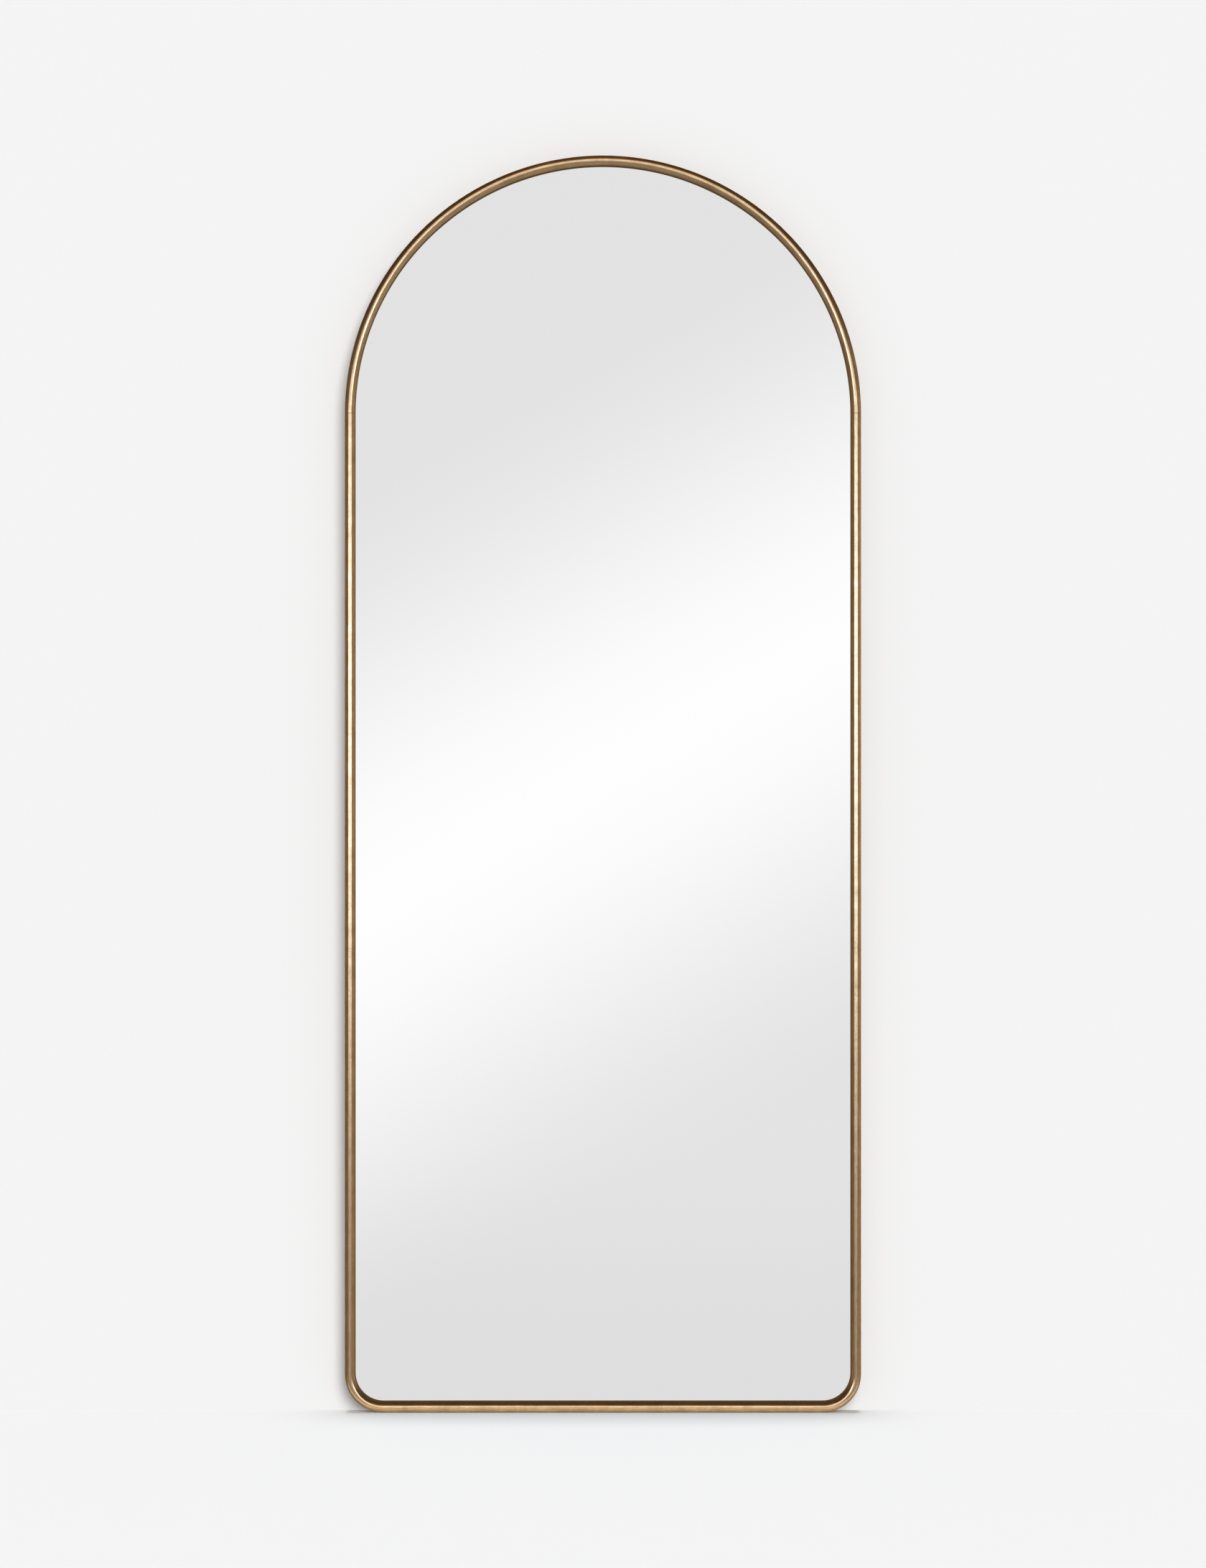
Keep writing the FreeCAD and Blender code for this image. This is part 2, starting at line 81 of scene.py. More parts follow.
def ring_at_left_spring(name):
    """A circle round the tube's centreline at the left springing point, open in edit mode."""
    bpy.ops.object.select_all(action="DESELECT")
    bpy.ops.mesh.primitive_circle_add(vertices=TUBE_SIDES, radius=tube_radius,
                                      location=(-half_width, tube_y, spring_line))
    piece = bpy.context.object
    piece.name = piece.data.name = name
    bpy.ops.object.transform_apply(location=True, rotation=True, scale=True)
    bpy.ops.object.mode_set(mode="EDIT")
    bpy.ops.mesh.select_all(action="SELECT")
    return piece


def draw_out(x, z):
    bpy.ops.mesh.extrude_region_move(TRANSFORM_OT_translate={"value": (x, 0, z)})


def turn_about(x, z, angle, steps):
    bpy.ops.mesh.spin(steps=steps, angle=angle, center=(x, tube_y, z), axis=(0, 1, 0))


print("a ring of", TUBE_SIDES, "sides, and an arch of", ARCH_STEPS, "steps")


# %% [markdown]
# ## The tube's wall
# The walked skin has no thickness yet. Where a spin ends, its last ring lies on the next stretch's first
# one, so doubles are merged. The open ends are closed while the normals are turned outwards, and opened
# again, and only then does Solidify give the wall its thickness inwards. A second, thinner tube inside
# would do the same with more work. A small bevel eases the cut ends.

# %% Give a tube its wall
END_ANGLE = math.radians(60)
EASE = 0.35 * MM
SMOOTH_BELOW = math.radians(20)


def walled(piece):
    """Merges, faces outwards, gives the tube its wall, and eases the cut ends."""
    bpy.ops.mesh.select_all(action="SELECT")
    bpy.ops.mesh.remove_doubles(threshold=0.01 * MM)
    bpy.ops.mesh.fill_holes(sides=0)
    bpy.ops.mesh.normals_make_consistent(inside=False)
    shell = bmesh.from_edit_mesh(piece.data)
    for face in shell.faces:
        face.select = len(face.verts) == TUBE_SIDES
    bpy.ops.mesh.delete(type="ONLY_FACE")
    bpy.ops.object.mode_set(mode="OBJECT")
    wall = piece.modifiers.new("wall", "SOLIDIFY")
    wall.thickness, wall.offset = tube_wall, -1
    ends = piece.modifiers.new("eased ends", "BEVEL")
    ends.limit_method, ends.angle_limit = "ANGLE", END_ANGLE
    ends.width, ends.segments = EASE, 2
    for modifier in ("wall", "eased ends"):
        bpy.ops.object.modifier_apply(modifier=modifier)
    bpy.ops.object.shade_smooth_by_angle(angle=SMOOTH_BELOW)
    print(piece.name, len(piece.data.polygons), "faces")


print("wall", round(tube_wall / MM, 2), "mm, ends eased by", round(EASE / MM, 2), "mm")


# %% Bend the lower tube: left leg, corner, rail, corner, right leg
leg = spring_line - corner_line
lower_tube = ring_at_left_spring("gilded_lower_tube")
draw_out(0, -leg)
turn_about(-rail_half, corner_line, math.pi / 2, CORNER_STEPS)
draw_out(2 * rail_half, 0)
turn_about(rail_half, corner_line, math.pi / 2, CORNER_STEPS)
draw_out(0, leg)
walled(lower_tube)

# %% Roll the arch tube
arch_tube = ring_at_left_spring("gilded_arch_tube")
turn_about(0, spring_line, -math.pi, ARCH_STEPS)
walled(arch_tube)

# %% [markdown]
# ## A map for the leaf
# Gold leaf is laid along the tube, so its laps, streaks and rubbing follow the bends. A pattern on
# Object coordinates would cut straight across them. Each tube therefore gets its own UV map in metres:
# U runs along the centreline and V round the tube, with the join at the back, where the lip covers it.

# %% Measure along the path
corner_run = corner_radius * math.pi / 2
lower_run = 2 * (leg + corner_run + rail_half)


def run_and_outset(x, z):
    """How far along the centreline a point is from the left springing point, and how far outside it."""
    if z > spring_line:
        turn = math.atan2(z - spring_line, x)
        return lower_run + half_width * turn, math.hypot(x, z - spring_line) - half_width
    across = abs(x)
    if z >= corner_line:
        run, outset = spring_line - z, across - half_width
    elif across > rail_half:
        turn = math.atan2(corner_line - z, across - rail_half)
        run = leg + corner_radius * turn
        outset = math.hypot(across - rail_half, corner_line - z) - corner_radius
    else:
        run, outset = leg + corner_run + rail_half - across, foot_line - z
    return (run if x < 0 else lower_run - run), outset


print("centreline of the lower tube:", round(lower_run, 3), "m")


# %% Write the map
def lay_map(tube):
    """Writes each face corner's place on the map. V is 0 at the front and grows outwards."""
    layer = tube.data.uv_layers.new(name="leaf_map")
    points = tube.data.vertices
    for face in tube.data.polygons:
        placed = []
        for corner in face.loop_indices:
            x, y, z = points[tube.data.loops[corner].vertex_index].co
            run, outset = run_and_outset(x, z)
            placed.append((corner, run, math.atan2(outset, tube_y - y)))
        round_most = max(p[2] for p in placed)
        for corner, run, turn in placed:
            turn += 2 * math.pi if round_most - turn > math.pi else 0
            layer.data[corner].uv = (run, tube_radius * turn)
    print(tube.name, "mapped,", len(layer.data), "corners")


for tube in (lower_tube, arch_tube):
    lay_map(tube)

# %% [markdown]
# ## Small tools
# Colours are written as the sRGB hex values that a paint chart gives, and Blender wants them linear. One
# function does that, one adds a shader node, sets its sockets and joins its links, and one starts a
# material from Blender's standard shader.

# %% Colour and node helpers
def linear(code):
    """An sRGB hex colour as the linear red, green, blue and alpha that Blender's sockets take."""
    parts = [int(code[i:i + 2], 16) / 255 for i in (1, 3, 5)]
    return [p / 12.92 if p <= 0.04045 else ((p + 0.055) / 1.055) ** 2.4 for p in parts] + [1.0]


def add(tree, kind, inputs=None, stops=(), **settings):
    """Adds a shader node, sets its options and sockets, and links the sockets given another's output."""
    node = tree.nodes.new("ShaderNode" + kind)
    for name, value in settings.items():
        setattr(node, name, value)
    for i, (place, colour) in enumerate(stops):
        stop = node.color_ramp.elements[i] if i < 2 else node.color_ramp.elements.new(place)
        stop.position, stop.color = place, colour
    for name, value in (inputs or {}).items():
        if isinstance(value, bpy.types.NodeSocket):
            tree.links.new(value, node.inputs[name])
        else:
            node.inputs[name].default_value = value
    return node


def new_material(name):
    """A material with its node tree and its Principled shader."""
    made = bpy.data.materials.new(name)
    made.use_nodes = True
    return made, made.node_tree, made.node_tree.nodes["Principled BSDF"]


print("leaf gold in linear light:", [round(part, 3) for part in linear("#e1bf94")])

# %% [markdown]
# ## Gold leaf
# Composition leaf is brass beaten thinner than a micron, laid in 85 mm squares on brown size, burnished
# and toned with umber shellac. To the eye it is a warm metal with a fine crinkle, long rubbing streaks
# and small pimples that catch the light, browner in its hollows and patches, with a faint line at each
# lap. A photograph of leaf would tile and would stretch at the bends, so each of these is a pattern with
# its real size in millimetres.

# %% Patterns in the leaf
LEAF = 85.0                     # side of a leaf, in mm as all the sizes here
LAP = 0.9                       # width of the line at a lap
WAVER = 14.0                    # how far a lap strays
STREAK_LENGTH = 25.0            # of a rubbing streak, along the tube
STREAK_WIDTH = 2.0
CRINKLE = 1.3                   # size of a facet, coarser than real leaf's so that it shows
PATCH = 30.0                    # size of a patch of umber
PIMPLE_SPACING = 8.0
PIMPLE_REACH = 0.08             # its radius, as a share of the spacing


def leaf_patterns(tree, in_mm):
    """Streaks, crinkle, patches, pimples and laps, each from 0 to 1."""
    stretch = (1 / STREAK_LENGTH, 1 / STREAK_WIDTH, 1 / STREAK_WIDTH)
    along = add(tree, "Mapping", {"Vector": in_mm, "Scale": stretch}).outputs["Vector"]
    # each noise has its place, its size, and how many finer layers it has and how strong they are
    noises = ((along, 1.0, 3.0, 0.55), (in_mm, CRINKLE, 2.0, 0.6), (in_mm, PATCH, 5.0, 0.65))
    streaks, crinkle, patches = [
        add(tree, "TexNoise", {"Vector": place, "Scale": 1 / size, "Detail": layers,
                               "Roughness": strength}).outputs["Fac"]
        for place, size, layers, strength in noises]
    spots = add(tree, "TexVoronoi", {"Vector": in_mm, "Scale": 1 / PIMPLE_SPACING}).outputs["Distance"]
    pimple = add(tree, "MapRange", {"Value": spots, "From Min": PIMPLE_REACH, "From Max": 0.0},
                 interpolation_type="SMOOTHSTEP").outputs["Result"]
    # a wavering line once a leaf
    run = add(tree, "SeparateXYZ", {"Vector": in_mm}).outputs["X"]
    strayed = add(tree, "Math", {0: patches, 1: WAVER, 2: run}, operation="MULTIPLY_ADD").outputs[0]
    leaves = add(tree, "Math", {0: strayed, 1: LEAF}, operation="DIVIDE").outputs[0]
    part = add(tree, "Math", {0: leaves}, operation="FRACT").outputs[0]
    lap = add(tree, "Math", {0: part, 1: LAP / LEAF}, operation="LESS_THAN").outputs[0]
    return streaks, crinkle, patches, pimple, lap


print("a leaf every", LEAF, "mm")

# %% [markdown]
# ## From patterns to a finish
# The metal's own colour is high, and the umber over it is what darkens it, so the patches, the hollows of
# the crinkle and the laps are added up to one share of umber. It also takes some of the shine. Gilders
# don't gild what touches the plate: the inner back quarter of the tube keeps the matt brown size. That
# brown is also painted shade: in the glass it shows as the dark line along the tube's inner edge.

# %% How much umber lies where
HOLLOW_FROM, HOLLOW_TO = 0.50, 0.30     # of the crinkle's 0 to 1, where a hollow starts and is full
HOLLOW_UMBER = 0.16                     # the share of umber in a full hollow
PATCH_FROM, PATCH_TO = 0.66, 0.34       # the same for the patches
PATCH_UMBER = 0.30
LAP_UMBER = 0.08


def umber_share(tree, crinkle, patches, lap):
    """How much of the metal the umber covers, from 0 to 1."""
    hollow = add(tree, "MapRange", {"Value": crinkle, "From Min": HOLLOW_FROM, "From Max": HOLLOW_TO,
                                    "To Max": HOLLOW_UMBER}).outputs["Result"]
    stain = add(tree, "MapRange", {"Value": patches, "From Min": PATCH_FROM, "From Max": PATCH_TO,
                                   "To Max": PATCH_UMBER}).outputs["Result"]
    worn = add(tree, "Math", {0: hollow, 1: stain}, operation="ADD").outputs[0]
    return add(tree, "Math", {0: lap, 1: LAP_UMBER, 2: worn}, operation="MULTIPLY_ADD").outputs[0]


print("umber covers at most", round(HOLLOW_UMBER + PATCH_UMBER + LAP_UMBER, 2), "of the metal")

# %% Gold leaf, for the tube and for the steel behind it
LEAF_SHADE = linear("#d2aa7c")
LEAF_LIGHT = linear("#e1bf94")
UMBER = linear("#5e3a18")
# the matt brown size on the tube's inner back, also painted shade: the dark line the glass shows beside the
# tube
BROWN_SIZE_AND_GAP_SHADE = linear("#8c6d4a")
GLANCING = linear("#c9a377")            # the metal's tint where it is seen at a slant
SHADE_AT, LIGHT_AT = 0.34, 0.66         # of the streaks' 0 to 1
BURNISHED, CRINKLED = 0.13, 0.25        # roughness of smooth leaf and of crinkled leaf
UMBER_ROUGHNESS = 0.15                  # what full umber would add to it
SIZE_ROUGHNESS = 0.8
SHELLAC = 0.15                          # weight of the clear coat
SHELLAC_ROUGHNESS = 0.15
CRINKLE_RELIEF, STREAK_RELIEF, PIMPLE_RELIEF = 0.05, 0.02, 0.10     # in mm
BARE_TO, GILT_FROM = -1.9, -1.55        # round the tube, in radians from the front


def gold_leaf(name, on_tube):
    """Leaf over brown size. On the tube the patterns follow its map, elsewhere they follow the object."""
    made, tree, shader = new_material(name)
    place = add(tree, "TexCoord").outputs["Object"]
    if on_tube:
        place = add(tree, "UVMap", uv_map="leaf_map").outputs["UV"]
    in_mm = add(tree, "Mapping", {"Vector": place, "Scale": (1000, 1000, 1000)}).outputs["Vector"]
    streaks, crinkle, patches, pimple, lap = leaf_patterns(tree, in_mm)

    umber = umber_share(tree, crinkle, patches, lap)
    tones = [(SHADE_AT, LEAF_SHADE), (LIGHT_AT, LEAF_LIGHT)]
    metal = add(tree, "ValToRGB", {"Fac": streaks}, tones).outputs["Color"]
    colour = add(tree, "Mix", {0: umber, 6: metal, 7: UMBER}, data_type="RGBA").outputs[2]
    rough = add(tree, "MapRange", {"Value": crinkle, "To Min": BURNISHED,
                                   "To Max": CRINKLED}).outputs["Result"]
    rough = add(tree, "Math", {0: umber, 1: UMBER_ROUGHNESS, 2: rough}, operation="MULTIPLY_ADD").outputs[0]
    relief = add(tree, "Bump", {"Height": crinkle, "Strength": 0.5,
                                "Distance": CRINKLE_RELIEF * MM}).outputs["Normal"]
    for pattern, strength, height in ((streaks, 0.4, STREAK_RELIEF), (pimple, 1.0, PIMPLE_RELIEF)):
        relief = add(tree, "Bump", {"Height": pattern, "Strength": strength, "Distance": height * MM,
                                    "Normal": relief}).outputs["Normal"]

    # the inner back quarter is matt brown size, also painted shade for the dark line in the glass beside the
    # tube
    if on_tube:
        turn = add(tree, "SeparateXYZ", {"Vector": place}).outputs["Y"]
        gilt = add(tree, "MapRange", {"Value": turn, "From Min": BARE_TO * tube_radius,
                                      "From Max": GILT_FROM * tube_radius}).outputs["Result"]
        colour = add(tree, "Mix", {0: gilt, 6: BROWN_SIZE_AND_GAP_SHADE, 7: colour}, data_type="RGBA").outputs[2]
        rough = add(tree, "Mix", {0: gilt, 2: SIZE_ROUGHNESS, 3: rough}).outputs[0]
        tree.links.new(gilt, shader.inputs["Metallic"])
    else:
        shader.inputs["Metallic"].default_value = 1.0
    for socket, value in (("Base Color", colour), ("Roughness", rough), ("Normal", relief)):
        tree.links.new(value, shader.inputs[socket])
    shader.inputs["Specular Tint"].default_value = GLANCING
    shader.inputs["Coat Weight"].default_value = SHELLAC
    shader.inputs["Coat Roughness"].default_value = SHELLAC_ROUGHNESS
    return made


# the warm bright metal of the frame, with streaks and laps that follow its bends
leaf_on_tube = gold_leaf("composition_gold_leaf_on_tube", True)
# the same leaf on the flat steel behind it, gilded all over
leaf_on_plate = gold_leaf("composition_gold_leaf_on_plate", False)
print("leaf finishes:", leaf_on_tube.name, "and", leaf_on_plate.name)

# %% [markdown]
# ## Silvered glass
# Float glass with silver chemically laid on its back. What shows is only what it reflects, a little
# darker and greener than the room. Glass with a silver layer behind it would double every edge for
# nothing that the eye can see here, so the shader is a clean metal of that tint with no roughness.

# %% Silvered glass
# a clear image of the room, faintly green
silvered_glass, _, glass = new_material("silvered_float_glass")
glass.inputs["Base Color"].default_value = linear("#f5f6f5")
glass.inputs["Metallic"].default_value = 1.0
glass.inputs["Roughness"].default_value = 0.0
print("glass finish:", silvered_glass.name)

# %% [markdown]
# ## Painted board, coated steel and zinc
# The back is a hardboard sealed with black paint: flat, with the faint fibres of the board in it.
# The angles and crossbars are steel with a fine-textured black powder coat. Screws are bright zinc
# plate, and the hangers are rolled zinc-plated strip with drawn lines along it. All of these are one
# colour in a grain, so one function makes them, and what differs is the grain's size, stretch and shine.

# %% A finish with grain, for the plain pieces
LOW_AT, HIGH_AT = 0.35, 0.65            # of the grain's 0 to 1, where it has its low and its high tone


def grained(name, low, high, grain_mm, rough, relief_mm, metallic=0.0, stretch=(1, 1, 1)):
    """Two tones of one colour in a grain of that size in mm, with the same grain in its relief."""
    made, tree, shader = new_material(name)
    place = add(tree, "TexCoord").outputs["Object"]
    size = [1 / (grain_mm * s * MM) for s in stretch]
    place = add(tree, "Mapping", {"Vector": place, "Scale": size}).outputs["Vector"]
    grain = add(tree, "TexNoise", {"Vector": place, "Scale": 1.0, "Detail": 4.0,
                                   "Roughness": 0.6}).outputs["Fac"]
    tones = [(LOW_AT, linear(low)), (HIGH_AT, linear(high))]
    colour = add(tree, "ValToRGB", {"Fac": grain}, tones).outputs["Color"]
    roughness = add(tree, "MapRange", {"Value": grain, "To Min": rough[0],
                                       "To Max": rough[1]}).outputs["Result"]
    relief = add(tree, "Bump", {"Height": grain, "Strength": 0.6,
                                "Distance": relief_mm * MM}).outputs["Normal"]
    for socket, value in (("Base Color", colour), ("Roughness", roughness), ("Normal", relief)):
        tree.links.new(value, shader.inputs[socket])
    shader.inputs["Metallic"].default_value = metallic
    print(name, "with a grain of", grain_mm, "mm")
    return made


# a flat near-black, warmer than the steel, with long faint fibres
painted_board = grained("black_sealed_hardboard", "#1c1b1a", "#2a2826", 1.6, (0.55, 0.75), 0.05,
                        stretch=(4, 1, 1))
# a fine pebbled black with a soft sheen along its edges
powder_coat = grained("black_powder_coated_steel", "#19191a", "#242425", 0.5, (0.42, 0.60), 0.05)
# small bright heads, cool against the black
zinc_screw = grained("bright_zinc_plate", "#b9bdc0", "#d6d9da", 1.2, (0.22, 0.36), 0.01, 1.0)
# a cool grey metal with rolling lines along the strip
zinc_strip = grained("rolled_zinc_plated_strip", "#aeb2b5", "#cfd2d3", 0.35, (0.26, 0.40), 0.015, 1.0,
                     stretch=(1, 1, 20))
# a dead black that takes no highlight, so that the feet and bumpers read as soft
rubber = grained("moulded_black_rubber", "#141414", "#1f1f1f", 0.8, (0.70, 0.85), 0.03)
# a dark grey with open pores, duller than the rubber
foam = grained("grey_closed_cell_foam", "#4b4c4e", "#66686a", 0.6, (0.85, 0.95), 0.08)
# a thin black line that closes the gap behind the lip
tape = grained("black_glazing_tape", "#101010", "#1a1a1a", 0.7, (0.60, 0.75), 0.02)
# a pale skin on the back of the glass, with a broad soft gloss
vinyl = grained("white_safety_film", "#cfd2d0", "#dfe2e0", 5.0, (0.30, 0.42), 0.01)
# plain grey metal with draw marks along it, inside the joints
raw_steel = grained("drawn_mild_steel", "#7d7d7b", "#979794", 0.6, (0.35, 0.50), 0.01, 1.0,
                    stretch=(1, 1, 20))

# %% [markdown]
# ## Dressing the pieces
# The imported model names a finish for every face, so each finish is made once and put in its slots. The
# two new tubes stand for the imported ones: they ride on the same body and take the same slot.

# %% Give each piece its finish
SLOT_FINISHES = {
    "gold_leafed_tube": leaf_on_tube, "gold_leafed_plate": leaf_on_plate, "raw_steel": raw_steel,
    "mirror_glass": silvered_glass, "safety_film": vinyl, "glazing_tape": tape, "black_rubber": rubber,
    "foam_pad": foam, "backboard": painted_board, "black_steel": powder_coat,
    "zinc_screws": zinc_screw, "zinc_hardware": zinc_strip,
}
for node in nodes.values():
    for slot in node.material_slots:
        slot.material = SLOT_FINISHES[slot.material.name.split(".")[0]]
for tube, stands_for in ((lower_tube, "lower_tube"), (arch_tube, "arch_tube")):
    tube.data.materials.append(leaf_on_tube)
    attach(tube, "mirror")
    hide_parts(stands_for)
print("finishes:", len(SLOT_FINISHES))

# %% [markdown]
# ## Paper behind the mirror
# The mirror stands against pale paper on a wall and a floor. The floor gets more light than the wall, so its
# paper is toned down until no line shows where they meet. A sheet that curves up from the floor would hide
# the line too, but the mirror stands right at the wall, where the curve would be. Only the camera sees the
# paper, and it vanishes from behind, so it is in the way of neither the light nor the other views.

# %% Fold the sheet
BACKGROUND = "#f4f4f4"
WALL_Y = 21.1 * MM
SHEET = 60              # side of the sheet on the floor, in m
WALL_HEIGHT = 30

bpy.ops.object.select_all(action="DESELECT")
bpy.ops.mesh.primitive_plane_add(size=SHEET, location=(0, WALL_Y - SHEET / 2, 0))
sweep = bpy.context.object
sweep.name = "studio_sweep"
bpy.ops.object.transform_apply(location=True, rotation=True, scale=True)
bpy.ops.object.mode_set(mode="EDIT")
sheet = bmesh.from_edit_mesh(sweep.data)
for corner in sheet.verts:
    corner.select = corner.co.y > WALL_Y - 1
sheet.select_flush_mode()
bpy.ops.mesh.extrude_region_move(TRANSFORM_OT_translate={"value": (0, 0, WALL_HEIGHT)})
bpy.ops.object.mode_set(mode="OBJECT")
print("paper", len(sweep.data.polygons), "faces")

# %% Tone the paper
PAPER = 0.87            # reflectance of the paper on the wall
PAPER_FLOOR = 0.727     # and on the floor


def unseen_by(thing, *rays):
    for ray in rays:
        setattr(thing, "visible_" + ray, False)


def bare_tree(owner):
    """The emptied node tree of a material or a world."""
    owner.use_nodes = True
    owner.node_tree.nodes.clear()
    return owner.node_tree


# a matt pale grey that takes the mirror's soft shadow
paper = bpy.data.materials.new("pale_studio_paper")
tree = bare_tree(paper)
facing = add(tree, "NewGeometry").outputs
upward = add(tree, "SeparateXYZ", {"Vector": facing["Normal"]}).outputs["Z"]
tone = add(tree, "MapRange", {"Value": upward, "To Min": PAPER, "To Max": PAPER_FLOOR}).outputs["Result"]
front = add(tree, "BsdfDiffuse", {"Color": tone}).outputs[0]
clear = add(tree, "BsdfTransparent").outputs[0]
both = add(tree, "MixShader", {0: facing["Backfacing"], 1: front, 2: clear}).outputs[0]
add(tree, "OutputMaterial", {"Surface": both})
sweep.data.materials.append(paper)
unseen_by(sweep, "diffuse", "glossy", "transmission", "volume_scatter", "shadow")
print("paper tones:", PAPER, "and", PAPER_FLOOR)

# %% [markdown]
# ## Lamps
# Two suns give the soft shadows, and no shiny thing sees them. What a polished tube shows is its
# surroundings, so its bright lines come from glowing panels: a softbox on each side, far enough out that
# the glass doesn't show them from the front, and a pale patch of floor under the bottom rail.

# %% Suns
# each has its name and strength, and its spread, tilt and turn in degrees
SUNS = (("key", 2.3, 36.0, 68.0, 13.0), ("top", 1.7, 8.4, -1.7, 0.0))
for name, strength, spread, tilt, turn in SUNS:
    sun = bpy.data.lights.new(name, "SUN")
    sun.energy, sun.angle = strength, math.radians(spread)
    lamp = bpy.data.objects.new(name, sun)
    lamp.rotation_euler = (math.radians(tilt), 0, math.radians(turn))
    unseen_by(lamp, "glossy")
    bpy.context.scene.collection.objects.link(lamp)
print("suns:", len(SUNS))

# %% A panel that glows
FADED = "#e0d9cc"       # a panel's light is warmer where it fades
AFTER_FIRST = 1.5       # half way between one bounce and two


def glow_card(name, size, location, rotation, tint, strength, softness, outward):
    """A panel that only shiny things see.

    softness is the share that fades at the inner side, the outer side and both ends, and outward is 1 or
    -1, for the end of X that is the outer side.
    """
    bpy.ops.object.select_all(action="DESELECT")
    bpy.ops.mesh.primitive_plane_add(size=1, location=location, rotation=rotation)
    card = bpy.context.object
    card.name, card.scale = name, (size[0], size[1], 1)
    made = bpy.data.materials.new(name + "_light")
    tree = bare_tree(made)
    place = add(tree, "TexCoord").outputs["Object"]
    across = add(tree, "SeparateXYZ", {"Vector": place}).outputs
    # it lights no dull thing by way of the mirror, and shows in a first reflection only
    rays = add(tree, "LightPath").outputs
    bounces = add(tree, "Math", {0: rays["Diffuse Depth"], 1: rays["Glossy Depth"]},
                  operation="ADD").outputs[0]
    share = add(tree, "Math", {0: bounces, 1: AFTER_FIRST}, operation="LESS_THAN").outputs[0]
    inner, outer, ends = softness
    for axis, edge, soft in (("X", -0.5 * outward, inner), ("X", 0.5 * outward, outer),
                             ("Y", -0.5, ends), ("Y", 0.5, ends)):
        faded = add(tree, "MapRange", {"Value": across[axis], "From Min": edge,
                                       "From Max": edge * (1 - 2 * soft)},
                    interpolation_type="SMOOTHSTEP").outputs["Result"]
        share = add(tree, "Math", {0: share, 1: faded}, operation="MULTIPLY").outputs[0]
    hue = add(tree, "Mix", {0: share, 6: linear(FADED), 7: linear(tint)}, data_type="RGBA").outputs[2]
    glow = add(tree, "Emission", {"Color": hue, "Strength": strength}).outputs[0]
    clear = add(tree, "BsdfTransparent").outputs[0]
    both = add(tree, "MixShader", {0: share, 1: clear, 2: glow}).outputs[0]
    add(tree, "OutputMaterial", {"Surface": both})
    card.data.materials.append(made)
    unseen_by(card, "camera", "diffuse", "transmission", "volume_scatter", "shadow")
    print(name, "at", location)


print("faded light in linear:", [round(part, 3) for part in linear(FADED)])

# %% Two softboxes and a patch of floor
SOFTBOX = (6.3, 2.55)                   # width and height, in metres as all that follow
BOX_ASIDE, BOX_AHEAD, BOX_HEIGHT = 3.97, 8.0, 1.325
BOX_STRENGTH = 7.2
BOX_SOFTNESS = (0.004, 0.36, 0.4)       # crisp on the inner side only
DAYLIGHT = "#bfdaff"
FLOOR_PATCH = (1.2, 0.08)
PATCH_AHEAD, PATCH_BELOW = 0.045, 0.001
PATCH_SOFTNESS = (0.1, 0.1, 0.4)

for side, name in ((-1, "left_softbox"), (1, "right_softbox")):
    glow_card(name, SOFTBOX, (side * BOX_ASIDE, -BOX_AHEAD, BOX_HEIGHT), (math.pi / 2, 0, 0),
              DAYLIGHT, BOX_STRENGTH, BOX_SOFTNESS, side)
glow_card("floor_bounce", FLOOR_PATCH, (0, -PATCH_AHEAD, -PATCH_BELOW), (0, 0, 0),
          "#ffffff", 1.0, PATCH_SOFTNESS, 1)

# %% [markdown]
# ## The room round it
# A mirror shows a room, so the world is one: pale in front, with a bright band above the glass's view that
# lights the crown and the rail, dimmer and warmer at the sides, and dark overhead. A picture of a room
# would do too, but ramps by height keep each level in plain sight. Between the front and the sides, where
# only oblique views look, it has levels of its own, with a pale floor.

# %% Levels by height
WHITE, DIM, WARM = (1.0, 1.0, 1.0), (0.88, 0.77, 0.62), (1.0, 0.72, 0.45)
world = bpy.data.worlds.new("studio_room")
bpy.context.scene.world = world
sky = bare_tree(world)
to_room = add(sky, "TexCoord").outputs["Generated"]
room_x, room_y, room_z = add(sky, "SeparateXYZ", {"Vector": to_room}).outputs
height = add(sky, "MapRange", {"Value": room_z, "From Min": -1.0, "From Max": 1.0}).outputs["Result"]


def by_height(*levels):
    """A brightness and a tint at heights from straight down, -1, to straight up, 1."""
    stops = [((z + 1) / 2, [bright * part for part in tint] + [1]) for z, bright, tint in levels]
    return add(sky, "ValToRGB", {"Fac": height}, stops).outputs["Color"]


right = by_height((-1.0, 0.42, WHITE), (-0.2, 0.50, WHITE), (-0.13, 0.46, DIM), (-0.03, 0.48, DIM),
                  (0.015, 0.74, DIM), (0.056, 0.57, DIM), (0.1, 0.45, DIM), (0.2, 0.40, DIM),
                  (0.45, 0.14, WARM), (1.0, 0.09, WARM))
left = by_height((-1.0, 0.32, WHITE), (-0.2, 0.34, WHITE), (-0.13, 0.24, DIM), (-0.03, 0.27, DIM),
                 (0.015, 0.42, DIM), (0.056, 0.27, DIM), (0.2, 0.22, DIM), (0.45, 0.10, WARM),
                 (1.0, 0.09, WARM))
aslant = by_height((-1.0, 0.38, WHITE), (-0.45, 0.42, WHITE), (-0.2, 0.55, WHITE), (-0.12, 0.24, DIM),
                   (0.2, 0.24, DIM), (0.45, 0.11, WARM), (1.0, 0.09, WARM))
